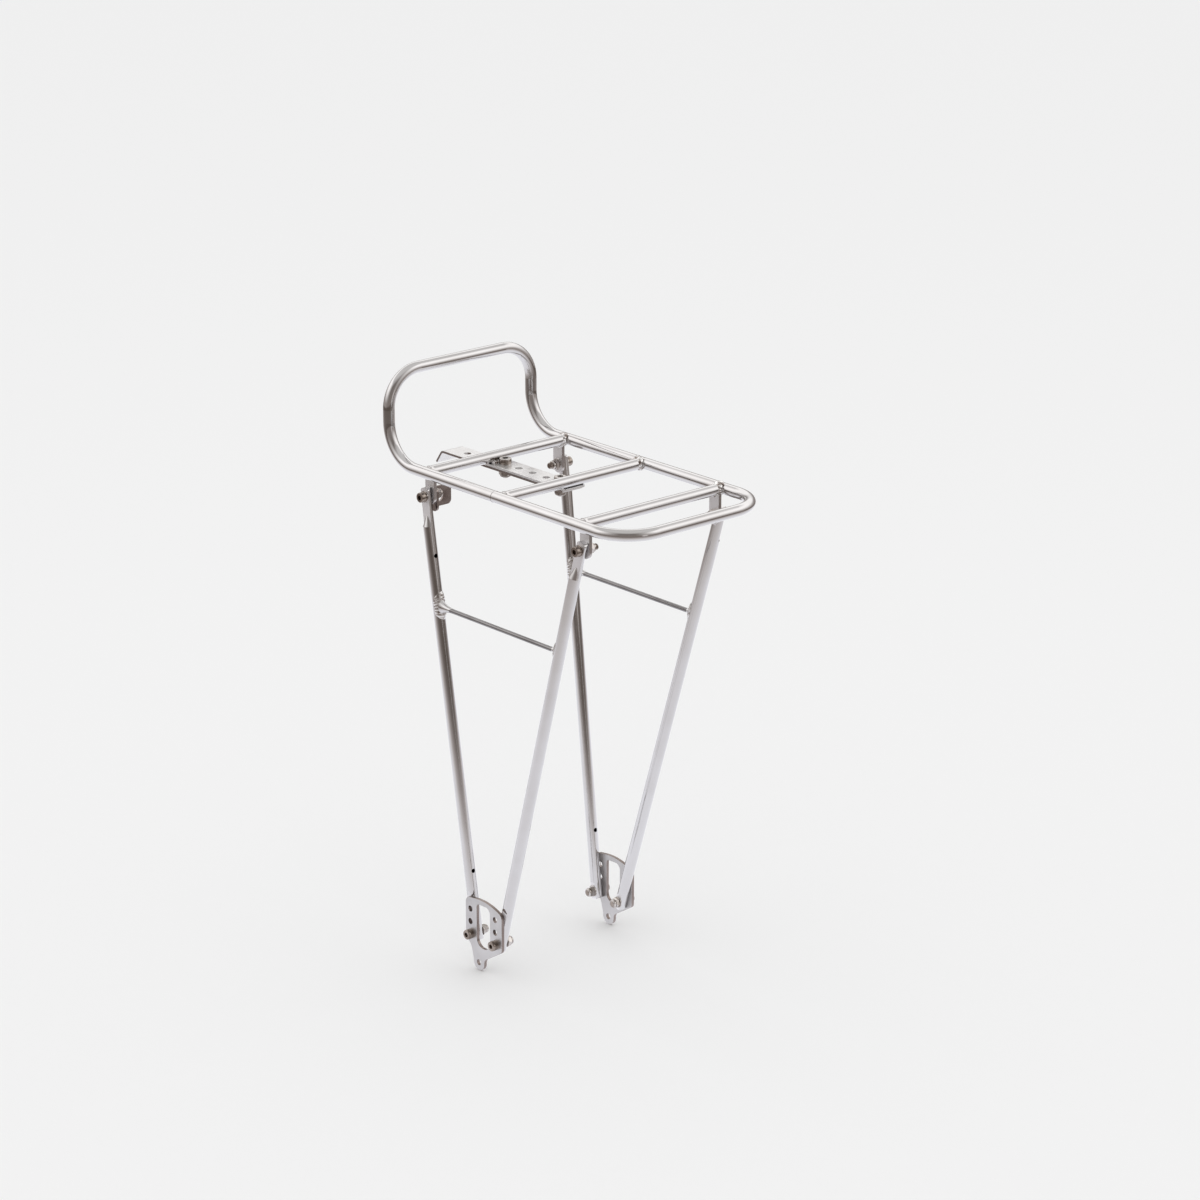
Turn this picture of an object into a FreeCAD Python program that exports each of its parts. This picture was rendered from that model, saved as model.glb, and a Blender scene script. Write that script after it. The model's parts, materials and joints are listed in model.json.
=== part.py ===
import FreeCAD, Part
import math
import os

# Bicycle rear rack in polished stainless tube.
# Frame: origin midway between the two dropout eyelets, +X towards the tail,
# +Y to the bike's right, +Z up.  All lengths in millimetres.

# ---- tubes -----------------------------------------------------------------
TUBE_R = 5.0               # 10 mm tube, rails, hoop and legs
TUBE_BORE_R = 4.0          # 1 mm wall
CROSS_R = 4.9              # crossbars, a hair under the rail so the saddle cut is clean
CROSS_BORE_R = 3.9
DECK_Z = 429.0             # centre plane of the deck tubes
RAIL_Y = 79.0              # half the rail spacing
CROSS_X = {"front": -62.0, "middle": 36.0, "rear": 134.0}
HOOP_X = -110.0            # plane of the raised hoop
HOOP_TOP_Z = 506.0         # centre of the hoop's top bar
HOOP_RISE_R = 34.0         # bend from rail up into the hoop
HOOP_TOP_R = 32.0          # bend from upright into the top bar
TAIL_X = 188.0             # centre of the bar that closes the tail
TAIL_R = 35.0              # tail corner radius
SEAM_X = 29.0              # butt weld between hoop tube and tail loop
COLLAR_LEN = 2.2           # weld collar at a crossbar end
COLLAR_RISE = 0.4

# ---- leg frames ------------------------------------------------------------
LEG_TOP_Z = 407.5          # top screw axis
LEG_LOW_Z = 23.5           # lower screw axis
LEG_TOP_X = {"front": -64.0, "rear": 134.0}
LEG_LOW_X = {"front": -11.0, "rear": 22.0}
LEG_AXIS_TOP_Y = 77.6      # tube axis at the top screw height
LEG_AXIS_LOW_Y = 69.2      # tube axis at the lower screw height
TOP_SEAT_Y = 72.9          # inner face of the top end, against the tab
TOP_FLAT_Y = 78.1          # outer face of the top end, under the screw head
LOW_SEAT_Y = 65.2          # washer seat on the inside of the lower end
LOW_FLAT_Y = 73.5          # outer face of the lower end, against the dropout plate
END_OVER = 7.2             # tube past the screw axis, both ends
END_CORNER_R = 2.4
POINT_START = 14.0         # screw axis to the tip of the pointed shoulder
POINT_LEN = 11.5           # pointed shoulder, tip to full round
LOW_FLAT_LEN = 34.0        # lower flat runs up past the dropout plate
LOW_RUNOUT = 8.0           # slope from the lower flat back to full round
LOW_SEAT_LEN = 8.0         # washer seat above the lower screw axis
LOW_PLUG = 44.0            # solid lower end above the screw axis
WEEP_R = 1.9               # drain holes
WEEP_TOP_DROP = 50.6       # drain hole below the top screw
WEEP_LOW_RISE = 55.6       # drain hole above the lower screw
TAB_W = 12.0
TAB_T = 3.0
TAB_TOP_Z = 426.5
TAB_END_DROP = 2.0         # tab end centre below the screw axis
ROD_R = 2.0
ROD_Z = 313.0
# weld at each rod end: reach along the rod, half height on the leg, half width
ROD_WELD = {"front": (20.0, 10.5, 4.3), "rear": (9.0, 7.0, 4.0)}

# ---- dropout plates --------------------------------------------------------
PLATE_T = 3.0
EDGE_R = 0.4               # tumbled edges of the cut plates
PLATE_IN_Y = LOW_FLAT_Y
EYELET_R = 2.75
EYELET_END_R = 7.2
HOLE_PITCH = 11.75
CLEAR5_R = 2.75            # clearance hole for a 5 mm screw
CLEAR6_R = 3.3             # clearance hole for a 6 mm screw

# ---- bridge bracket --------------------------------------------------------
BRIDGE_W = 22.0
BRIDGE_T = 2.0
BRIDGE_CORNER_R = 1.5
BRIDGE_EDGE_R = 0.3
BRIDGE_TOP_Z = DECK_Z - TUBE_R
BRIDGE_X0, BRIDGE_X1 = -65.5, 39.5
BRIDGE_HOLE_X0 = -51.3     # first hole of the row, carries the front screw
BRIDGE_HOLE_PITCH = 17.85
BRIDGE_HOLES = 5           # the last one carries the rear screw
STRIP_GAP = 0.05           # running gap above and below the sliding strip
STRIP_T = BRIDGE_T - 2 * STRIP_GAP
STRIP_X0, STRIP_X1 = -121.5, 35.5
STRIP_BEND_R = 3.0         # inner radius of the bent tang
STRIP_TANG_LEN = 11.0
STRIP_TANG_DEG = 55.0
STRIP_HOLE_X = -102.0
STRIP_HOLE_R = 3.25
SLIDE_BACK = 8.0           # slot room towards the saddle
SLIDE_FWD = 32.0           # slot room towards the tail
SLOT_SPARE = 0.4           # slot left over at each end of the travel

# ---- weld beads on the bridge plate ------------------------------------------
WELD_RIPPLES = 8
WELD_PITCH = 2.2
WELD_R0, WELD_R1 = 1.7, 2.15   # valley and crest of the ripples
WELD_HEAD_GAP = 0.3            # room left round the bridge screw's head

# ---- lamp bracket ----------------------------------------------------------
LAMP_T = 2.0
LAMP_X = -73.0             # outer face of the flange
LAMP_Z0, LAMP_Z1 = 393.5, 411.5
LAMP_REACH = 26.0          # flange length, from the tab inwards
LAMP_HOLE_IN = 12.5        # hole centre, from the tab inwards
LAMP_HOLE_R = 5.0
LAMP_CORNER_R = 4.0

# ---- fasteners -------------------------------------------------------------
WASHER_T = 1.0
DROPOUT_SCREW_TIP = 0.3    # screw showing past the locknuts at the dropouts
M5 = dict(shank_r=2.5, head_r=4.25, head_h=5.0, key_af=4.0, washer_r=5.0,
          nut_af=8.0, nut_h=3.6, collar_r=3.7, collar_h=2.2, tip=3.4)
M6 = dict(shank_r=3.0, head_r=5.2, head_h=5.2, key_af=5.0, washer_r=6.0,
          nut_af=10.0, nut_h=4.2, collar_r=4.6, collar_h=1.8, tip=1.0)

V = FreeCAD.Vector
X_AXIS, Y_AXIS, Z_AXIS = V(1, 0, 0), V(0, 1, 0), V(0, 0, 1)
SIDES = {"left": -1, "right": 1}
ENDS = ("front", "rear")


def fuse(shapes):
    """One clean solid from overlapping or touching solids."""
    shapes = list(shapes)
    out = shapes[0]
    if len(shapes) > 1:
        out = out.multiFuse(shapes[1:])
    return out.removeSplitter()


def cylinder(r, start, end):
    """Round bar between two points."""
    axis = end - start
    return Part.makeCylinder(r, axis.Length, start, axis)


def bar_y(r, x, z, y0, y1):
    return cylinder(r, V(x, y0, z), V(x, y1, z))


def mirror_y(shape):
    return shape.mirror(V(0, 0, 0), Y_AXIS)


def ease(shape, normal, r):
    """Round the edges that bound a plate's two broad faces; normal is the plate's."""
    rims = [e for face in shape.Faces
            if face.Surface.TypeId == "Part::GeomPlane"
            and abs(face.Surface.Axis.dot(normal)) > 0.999
            for e in face.Edges]
    return shape.makeFillet(r, rims)


def sided(shape, side):
    """Right-hand shape, mirrored when the left one is wanted."""
    return shape if side > 0 else mirror_y(shape)


# ---- bent tube -------------------------------------------------------------
def disc(r, centre, normal):
    return Part.Face(Part.Wire(Part.makeCircle(r, centre, normal)))


def tube_run(r, legs):
    """Round bar through a list of straight and bent stretches.

    ("line", start, end) or ("bend", start, start direction, centre, axis, degrees).
    """
    parts = []
    for leg in legs:
        if leg[0] == "line":
            parts.append(cylinder(r, leg[1], leg[2]))
        else:
            _, start, heading, centre, axis, deg = leg
            parts.append(disc(r, start, heading).revolve(centre, axis, deg))
    return fuse(parts)


def hoop_legs():
    """Half of the hoop tube on the right-hand side, seam to top centre."""
    rise_x = HOOP_X + HOOP_RISE_R
    corner_y = RAIL_Y - HOOP_TOP_R
    rise_z = DECK_Z + HOOP_RISE_R
    corner_z = HOOP_TOP_Z - HOOP_TOP_R
    return [
        ("line", V(SEAM_X, RAIL_Y, DECK_Z), V(rise_x, RAIL_Y, DECK_Z)),
        ("bend", V(rise_x, RAIL_Y, DECK_Z), V(-1, 0, 0), V(rise_x, RAIL_Y, rise_z), Y_AXIS, 90),
        ("line", V(HOOP_X, RAIL_Y, rise_z), V(HOOP_X, RAIL_Y, corner_z)),
        ("bend", V(HOOP_X, RAIL_Y, corner_z), Z_AXIS, V(HOOP_X, corner_y, corner_z), X_AXIS, 90),
        ("line", V(HOOP_X, corner_y, HOOP_TOP_Z), V(HOOP_X, 0, HOOP_TOP_Z)),
    ]


def tail_legs():
    """Half of the tail loop on the right-hand side, seam to tail centre."""
    bend_x = TAIL_X - TAIL_R
    corner_y = RAIL_Y - TAIL_R
    return [
        ("line", V(SEAM_X, RAIL_Y, DECK_Z), V(bend_x, RAIL_Y, DECK_Z)),
        ("bend", V(bend_x, RAIL_Y, DECK_Z), X_AXIS, V(bend_x, corner_y, DECK_Z), Z_AXIS, -90),
        ("line", V(TAIL_X, corner_y, DECK_Z), V(TAIL_X, 0, DECK_Z)),
    ]


def whole_loop(half_legs, r):
    half = tube_run(r, half_legs)
    return fuse([half, mirror_y(half)])


def crossbar(x, rail_body):
    """Straight bar saddle-cut to the rails, with a small weld collar at each end."""
    bar = bar_y(CROSS_R, x, DECK_Z, -RAIL_Y, RAIL_Y)
    collars = []
    for side in SIDES.values():
        start = side * (RAIL_Y - TUBE_R - COLLAR_LEN)
        end = side * (RAIL_Y - TUBE_R + 0.6)
        collars.append(Part.makeCone(CROSS_R, CROSS_R + COLLAR_RISE, abs(end - start),
                                     V(x, start, DECK_Z), V(0, side, 0)))
    solid = fuse([bar] + collars).cut(rail_body)
    return solid.cut(bar_y(CROSS_BORE_R, x, DECK_Z, -RAIL_Y, RAIL_Y))


# ---- legs ------------------------------------------------------------------
def end_corners(end_point, along):
    """Waste that rounds the two corners of a leg end; along points off the end."""
    across = Y_AXIS.cross(along)
    r = END_CORNER_R
    waste = []
    for side in (-1, 1):
        centre = end_point + across * side * (TUBE_R - r) - along * r
        out = across * side * (r + 3)
        off = along * (r + 3)
        face = Part.Face(Part.makePolygon([centre, centre + out, centre + out + off,
                                           centre + off, centre]))
        face.translate(V(0, -15, 0))
        pin = cylinder(r, centre - Y_AXIS * 16, centre + Y_AXIS * 16)
        waste.append(face.extrude(V(0, 30, 0)).cut(pin))
    return waste


def slab(y0, y1, low_z, high_z):
    """Wide block between two planes of constant Y."""
    return Part.makeBox(400, y1 - y0, high_z - low_z, V(-200, y0, low_z))


def low_cut(low, run):
    """Wedge milled off the outside of the lower end, sloping out at its top."""
    out = LEG_AXIS_LOW_Y + TUBE_R + 2.0 - LOW_FLAT_Y
    side = [(-20, 0), (LOW_FLAT_LEN, 0), (LOW_FLAT_LEN + LOW_RUNOUT, out),
            (LOW_FLAT_LEN + LOW_RUNOUT, 12), (-20, 12), (-20, 0)]
    across = Y_AXIS.cross(run)
    corners = [low + run * s + across * -12 + Y_AXIS * (LOW_FLAT_Y - low.y + d) for s, d in side]
    return Part.Face(Part.makePolygon(corners)).extrude(across * 24)


def leg(end):
    """Right-hand leg: round tube, its top end halved to a D, its lower end milled flat."""
    top = V(LEG_TOP_X[end], LEG_AXIS_TOP_Y, LEG_TOP_Z)
    low = V(LEG_LOW_X[end], LEG_AXIS_LOW_Y, LEG_LOW_Z)
    axis = (top - low).normalize()
    run = V(axis.x, 0, axis.z).normalize()
    top_end = top + axis * END_OVER
    low_end = low - axis * END_OVER
    shoulder = top - axis * (POINT_START + POINT_LEN)
    halved = cylinder(TUBE_R, shoulder - axis, top_end).common(
        slab(TOP_SEAT_Y - 12, TOP_FLAT_Y, shoulder.z - 5, top_end.z + 5))
    body = fuse([cylinder(TUBE_R, low_end, shoulder),
                 Part.makeCone(TUBE_R, 0.2, POINT_LEN, shoulder, axis), halved])
    body = body.cut(slab(50, TOP_SEAT_Y, LEG_TOP_Z - TAB_W / 2 - 4, LEG_TOP_Z + 20))
    body = body.cut(slab(50, LOW_SEAT_Y, LEG_LOW_Z - 20, LEG_LOW_Z + LOW_SEAT_LEN))
    body = body.cut(low_cut(low, run))
    for waste in end_corners(top_end, run) + end_corners(low_end, run * -1):
        body = body.cut(waste)
    bore = fuse([cylinder(TUBE_BORE_R, low + axis * LOW_PLUG, shoulder),
                 Part.makeCone(TUBE_BORE_R, 0.6, POINT_LEN * 0.6, shoulder, axis)])
    body = body.cut(bore)
    for point in (top, low):
        body = body.cut(bar_y(CLEAR5_R, point.x, point.z, point.y - 8, point.y + 8))
    facing = 1 if end == "front" else -1
    for z in (LEG_TOP_Z - WEEP_TOP_DROP, LEG_LOW_Z + WEEP_LOW_RISE):
        at = on_leg(end, z)
        outward = V(axis.z, 0, -axis.x).normalize() * facing
        body = body.cut(Part.makeCylinder(WEEP_R, TUBE_R + 2, at, outward))
    return body


def on_leg(end, z):
    """Point on the leg's centre line at height z, right-hand side."""
    t = (z - LEG_LOW_Z) / (LEG_TOP_Z - LEG_LOW_Z)
    x = LEG_LOW_X[end] + (LEG_TOP_X[end] - LEG_LOW_X[end]) * t
    return V(x, LEG_AXIS_LOW_Y + (LEG_AXIS_TOP_Y - LEG_AXIS_LOW_Y) * t, z)


def oval(centre, normal, half_height, half_width):
    """Ellipse square to the rod, its long axis along the leg."""
    wire = Part.Wire(Part.Ellipse(V(0, 0, 0), half_height, half_width).toShape())
    tall = (Z_AXIS - normal * normal.z).normalize()
    wide = normal.cross(tall)
    wire.Placement = FreeCAD.Placement(FreeCAD.Matrix(
        tall.x, wide.x, normal.x, centre.x,
        tall.y, wide.y, normal.y, centre.y,
        tall.z, wide.z, normal.z, centre.z, 0, 0, 0, 1))
    return wire


def rod_weld(start, heading, end):
    """Trumpet-shaped weld that runs from the leg out along the rod."""
    reach, tall, wide = ROD_WELD[end]
    rim = TUBE_R * 0.3
    long = reach - rim
    rings = [(rim, tall, wide),
             (rim + long * 0.28, tall * 0.50, wide * 0.78),
             (rim + long * 0.60, ROD_R + tall * 0.09, ROD_R + 0.4),
             (reach, ROD_R + 0.03, ROD_R + 0.01)]
    return Part.makeLoft([oval(start + heading * s, heading, a, b) for s, a, b in rings],
                         True, False)


def side_rod():
    """Thin stay between the two legs of one side, flared into the welds."""
    a, b = on_leg("front", ROD_Z), on_leg("rear", ROD_Z)
    parts = [cylinder(ROD_R, a, b)]
    for end, start, heading in (("front", a, b - a), ("rear", b, a - b)):
        parts.append(rod_weld(start, V(heading).normalize(), end))
    rod = fuse(parts)
    for end, inward in (("front", -1), ("rear", 1)):
        spine = on_leg(end, ROD_Z)
        keep_out = cylinder(TUBE_R, on_leg(end, ROD_Z - 40), on_leg(end, ROD_Z + 40))
        beyond = Part.makeBox(30, 30, 60, spine + V(-30 if inward < 0 else 0, -15, -30))
        rod = rod.cut(keep_out).cut(beyond)
    return max(rod.Solids, key=lambda s: s.Volume)


def leg_tab(end, crossbar_body):
    """Plate welded under a crossbar end, right-hand side, drilled for the leg screw."""
    x, half = LEG_TOP_X[end], TAB_W / 2
    y0 = TOP_SEAT_Y - TAB_T
    end_z = LEG_TOP_Z - TAB_END_DROP
    box = Part.makeBox(TAB_W, TAB_T, TAB_TOP_Z - end_z, V(x - half, y0, end_z))
    tip = bar_y(half, x, end_z, y0, y0 + TAB_T)
    blank = ease(fuse([box, tip]), Y_AXIS, EDGE_R)
    hole = bar_y(CLEAR5_R, x, LEG_TOP_Z, y0 - 1, y0 + TAB_T + 1)
    cut_bar = bar_y(CROSS_R, CROSS_X[end], DECK_Z, y0 - 2, y0 + TAB_T + 2)
    return blank.cut(cut_bar).cut(crossbar_body).cut(hole)


# ---- dropout plates --------------------------------------------------------
def outline(points):
    """Closed wire in the XZ plane from ("line"|"arc", ...) steps of (x, z) points."""
    edges, here = [], points[0]
    for step in points[1:]:
        if step[0] == "line":
            edges.append(Part.LineSegment(V(here[0], 0, here[1]),
                                          V(step[1][0], 0, step[1][1])).toShape())
            here = step[1]
        else:
            edges.append(Part.Arc(V(here[0], 0, here[1]), V(step[1][0], 0, step[1][1]),
                                  V(step[2][0], 0, step[2][1])).toShape())
            here = step[2]
    return Part.Wire(edges)


def rounded_outline(corners):
    """Closed wire in the XZ plane round (x, z, radius) corners, arcs tangent to the sides."""
    arcs = []
    for i, (x, z, r) in enumerate(corners):
        here = V(x, 0, z)
        last, following = corners[i - 1], corners[(i + 1) % len(corners)]
        back = (V(last[0], 0, last[1]) - here).normalize()
        ahead = (V(following[0], 0, following[1]) - here).normalize()
        half = back.getAngle(ahead) / 2
        reach = r / math.tan(half)
        middle = here + (back + ahead).normalize() * (r / math.sin(half) - r)
        arcs.append((here + back * reach, middle, here + ahead * reach))
    edges = []
    for i, (start, middle, end) in enumerate(arcs):
        edges.append(Part.Arc(start, middle, end).toShape())
        next_start = arcs[(i + 1) % len(arcs)][0]
        if (next_start - end).Length > 1e-4:
            edges.append(Part.LineSegment(end, next_start).toShape())
    return Part.Wire(edges)


def dropout_plate():
    """Right-hand plate: arched head, tall window, two hole columns and the eyelet tail."""
    r = EYELET_END_R
    body = rounded_outline([
        (-17.5, 56.8, 6.0),
        (9.5, 60.8, 60.0),
        (31.0, 53.2, 5.5),
        (31.0, 18.9, 5.0),
        (r, 4.0, 6.0),
        (r, -r, r),
        (-r, -r, r),
        (-r, 1.6, 8.0),
        (-10.4, 13.4, 9.0),
        (-17.5, 19.6, 5.0),
    ])
    window = rounded_outline([
        (-2.5, 54.3, 3.2),
        (15.0, 54.7, 5.4),
        (15.0, 14.6, 8.0),
        (-2.5, 14.6, 8.0),
    ])
    depth = V(0, PLATE_T, 0)
    plate = Part.Face(body).extrude(depth).cut(Part.Face(window).extrude(depth))
    plate = ease(plate, Y_AXIS, EDGE_R)
    plate.translate(V(0, PLATE_IN_Y, 0))
    holes = [(0.0, 0.0, EYELET_R)]
    for x in LEG_LOW_X.values():
        holes += [(x, LEG_LOW_Z + i * HOLE_PITCH, CLEAR5_R) for i in range(3)]
    for x, z, hole_r in holes:
        plate = plate.cut(bar_y(hole_r, x, z, PLATE_IN_Y - 1, PLATE_IN_Y + PLATE_T + 1))
    return plate


# ---- bridge bracket --------------------------------------------------------
def bridge_hole_x():
    return [BRIDGE_HOLE_X0 + i * BRIDGE_HOLE_PITCH for i in range(BRIDGE_HOLES)]


def bridge_screw_x():
    return bridge_hole_x()[0], bridge_hole_x()[-1]


def is_upright(edge):
    a, b = (v.Point for v in edge.Vertexes)
    return abs(a.x - b.x) < 0.01 and abs(a.y - b.y) < 0.01


def bridge_plate():
    """Fixed strip under the front and middle crossbars, with a row of holes."""
    z0 = BRIDGE_TOP_Z - BRIDGE_T
    plate = Part.makeBox(BRIDGE_X1 - BRIDGE_X0, BRIDGE_W, BRIDGE_T,
                         V(BRIDGE_X0, -BRIDGE_W / 2, z0))
    plate = plate.makeFillet(BRIDGE_CORNER_R, [e for e in plate.Edges if is_upright(e)])
    plate = ease(plate, Z_AXIS, BRIDGE_EDGE_R)
    for x in bridge_hole_x():
        plate = plate.cut(Part.makeCylinder(CLEAR6_R, BRIDGE_T + 2, V(x, 0, z0 - 1)))
    return plate


def slot(x0, x1, z0, height):
    """Round-ended slot along X between two end centres."""
    box = Part.makeBox(x1 - x0, 2 * CLEAR6_R, height, V(x0, -CLEAR6_R, z0))
    ends = [Part.makeCylinder(CLEAR6_R, height, V(x, 0, z0)) for x in (x0, x1)]
    return fuse([box] + ends)


def bridge_strip():
    """Slotted strip that slides under the bridge plate, tail end bent down as a tang."""
    z1 = BRIDGE_TOP_Z - BRIDGE_T - STRIP_GAP
    z0 = z1 - STRIP_T
    bend = math.radians(STRIP_TANG_DEG)
    cz = z0 - STRIP_BEND_R

    def at(radius, angle):
        return (STRIP_X0 - radius * math.sin(angle), cz + radius * math.cos(angle))

    def tang(radius):
        x, z = at(radius, bend)
        return (x - STRIP_TANG_LEN * math.cos(bend), z - STRIP_TANG_LEN * math.sin(bend))

    inner, outer = STRIP_BEND_R, STRIP_BEND_R + STRIP_T
    side = outline([
        (STRIP_X1, z0),
        ("line", (STRIP_X1, z1)),
        ("line", (STRIP_X0, z1)),
        ("arc", at(outer, bend / 2), at(outer, bend)),
        ("line", tang(outer)),
        ("line", tang(inner)),
        ("line", at(inner, bend)),
        ("arc", at(inner, bend / 2), (STRIP_X0, z0)),
        ("line", (STRIP_X1, z0)),
    ])
    strip = Part.Face(side).extrude(V(0, BRIDGE_W, 0))
    strip.translate(V(0, -BRIDGE_W / 2, 0))
    for x in bridge_screw_x():
        strip = strip.cut(slot(x - SLIDE_FWD - SLOT_SPARE, x + SLIDE_BACK + SLOT_SPARE,
                               z0 - 1, STRIP_T + 2))
    return strip.cut(Part.makeCylinder(STRIP_HOLE_R, STRIP_T + 2, V(STRIP_HOLE_X, 0, z0 - 1)))


def bridge_welds(keep_out):
    """Rippled fillet welds where the bridge plate meets the two crossbars."""
    beads = []
    for name, side in (("front", 1), ("middle", -1)):
        x = CROSS_X[name] + side * 4.3
        ripples = []
        for i in range(WELD_RIPPLES):
            y = (i - WELD_RIPPLES / 2) * WELD_PITCH
            for y0, r0, r1 in ((y, WELD_R0, WELD_R1), (y + WELD_PITCH / 2, WELD_R1, WELD_R0)):
                ripples.append(Part.makeCone(r0, r1, WELD_PITCH / 2,
                                             V(x, y0, BRIDGE_TOP_Z + 0.5), Y_AXIS))
        bead = fuse(ripples).cut(keep_out)
        bead = bead.cut(Part.makeBox(12, 40, 6, V(x - 6, -20, BRIDGE_TOP_Z - 6)))
        for screw_x in bridge_screw_x():
            bead = bead.cut(Part.makeCylinder(M6["head_r"] + WELD_HEAD_GAP, 6,
                                              V(screw_x, 0, BRIDGE_TOP_Z - 1)))
        outer = [s for s in bead.Solids if (s.CenterOfMass.x - CROSS_X[name]) * side > 0]
        beads.append(max(outer, key=lambda s: s.Volume))
    return beads


# ---- lamp bracket ----------------------------------------------------------
def lamp_bracket():
    """Angle bracket held under the left front top screw (built on the left side)."""
    y_tab = -(TOP_SEAT_Y - TAB_T)
    x_end = LEG_TOP_X["front"] + TAB_W / 2
    base = Part.makeBox(x_end - LAMP_X, LAMP_T, LEG_TOP_Z + 6.5 - LAMP_Z0,
                        V(LAMP_X, y_tab, LAMP_Z0))
    flange = Part.makeBox(LAMP_T, LAMP_REACH, LAMP_Z1 - LAMP_Z0, V(LAMP_X, y_tab, LAMP_Z0))
    far = [e for e in flange.Edges
           if abs(e.CenterOfMass.y - (y_tab + LAMP_REACH)) < 0.01
           and abs(e.CenterOfMass.x - LAMP_X - LAMP_T / 2) < 0.01]
    flange = flange.makeFillet(LAMP_CORNER_R, far)
    corner = [e for e in base.Edges
              if abs(e.CenterOfMass.x - x_end) < 0.01
              and abs(e.CenterOfMass.y - y_tab - LAMP_T / 2) < 0.01]
    base = base.makeFillet(4.0, corner)
    body = fuse([base, flange])
    heel = [e for e in body.Edges
            if abs(e.CenterOfMass.x - LAMP_X) < 0.01 and abs(e.CenterOfMass.y - y_tab) < 0.01
            and e.Length > LAMP_Z1 - LAMP_Z0 - 1]
    if heel:
        body = body.makeFillet(1.6, heel)
    hole_z = (LAMP_Z0 + LAMP_Z1) / 2
    body = body.cut(Part.makeCylinder(LAMP_HOLE_R, LAMP_T + 2,
                                      V(LAMP_X - 1, y_tab + LAMP_HOLE_IN, hole_z), X_AXIS))
    return body.cut(bar_y(CLEAR5_R, LEG_TOP_X["front"], LEG_TOP_Z, y_tab - 1, y_tab + 3))


# ---- fasteners, built along +Z with z = 0 under the screw head ---------------
def hex_prism(af, height, z0):
    r = af / math.sqrt(3)
    points = [V(r * math.cos(math.radians(60 * i)), r * math.sin(math.radians(60 * i)), z0)
              for i in range(7)]
    return Part.Face(Part.makePolygon(points)).extrude(V(0, 0, height))


def screw(m, length):
    """Socket cap screw: head above z = 0, shank down to -length."""
    head = Part.makeCylinder(m["head_r"], m["head_h"])
    rim = [e for e in head.Edges if abs(e.CenterOfMass.z - m["head_h"]) < 0.01
           and e.Length > m["head_r"] * 5]
    head = head.makeFillet(0.5, rim)
    shank = Part.makeCylinder(m["shank_r"], length, V(0, 0, -length))
    tip = [e for e in shank.Edges if abs(e.CenterOfMass.z + length) < 0.01
           and e.Length > m["shank_r"] * 5]
    shank = shank.makeChamfer(0.5, tip)
    depth = m["head_h"] * 0.55
    return fuse([head, shank]).cut(hex_prism(m["key_af"], depth + 1, m["head_h"] - depth))


def washer(m):
    ring = Part.makeCylinder(m["washer_r"], WASHER_T)
    ring = ring.makeFillet(0.2, [e for e in ring.Edges if e.Length > m["washer_r"] * 5])
    return ring.cut(Part.makeCylinder(m["shank_r"] + 0.2, WASHER_T + 2, V(0, 0, -1)))


def locknut(m):
    """Hex nut with chamfered corners and a plain collar above, bored for the screw."""
    h = m["nut_h"]
    corner_r = m["nut_af"] / math.sqrt(3)
    body = hex_prism(m["nut_af"], h, 0)
    trim = Part.makeCone(corner_r + h - 0.5, corner_r - 0.5, h)
    trim_low = Part.makeCone(corner_r - 0.5, corner_r + h - 0.5, h)
    body = body.common(trim).common(trim_low)
    neck = Part.makeCylinder(m["collar_r"] - 0.5, 0.7, V(0, 0, h - 0.1))
    collar = Part.makeCylinder(m["collar_r"], m["collar_h"] - 0.6, V(0, 0, h + 0.6))
    rim = [e for e in collar.Edges if abs(e.CenterOfMass.z - h - m["collar_h"]) < 0.01
           and e.Length > m["collar_r"] * 5]
    collar = collar.makeFillet(0.7, rim)
    bore = Part.makeCylinder(m["shank_r"], h + m["collar_h"] + 2, V(0, 0, -1))
    return fuse([body, neck, collar]).cut(bore)


def place(shape, origin, z_to, turn=0.0):
    """Move a fastener so its own +Z points along z_to, its zero at origin."""
    copy = shape.copy()
    copy.rotate(V(0, 0, 0), Z_AXIS, turn)
    spin = FreeCAD.Rotation(Z_AXIS, z_to)
    copy.Placement = FreeCAD.Placement(origin, spin).multiply(copy.Placement)
    return copy


def bolt_set(m, face_at, out, stack, turn=0.0, head_washer=True, tip=None):
    """Screw, washers and locknut through a stack of thickness `stack` below face_at."""
    head_at = face_at + out * (WASHER_T if head_washer else 0.0)
    far_face = face_at - out * stack
    nut_at = far_face - out * WASHER_T
    end = m["nut_h"] + m["collar_h"] + (m["tip"] if tip is None else tip)
    length = (head_at - nut_at).Length + end
    washers = [place(washer(m), far_face - out * WASHER_T, out)]
    if head_washer:
        washers.append(place(washer(m), face_at, out))
    return (place(screw(m, length), head_at, out, turn), washers,
            place(locknut(m), nut_at, out * -1, turn + 17))


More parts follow.
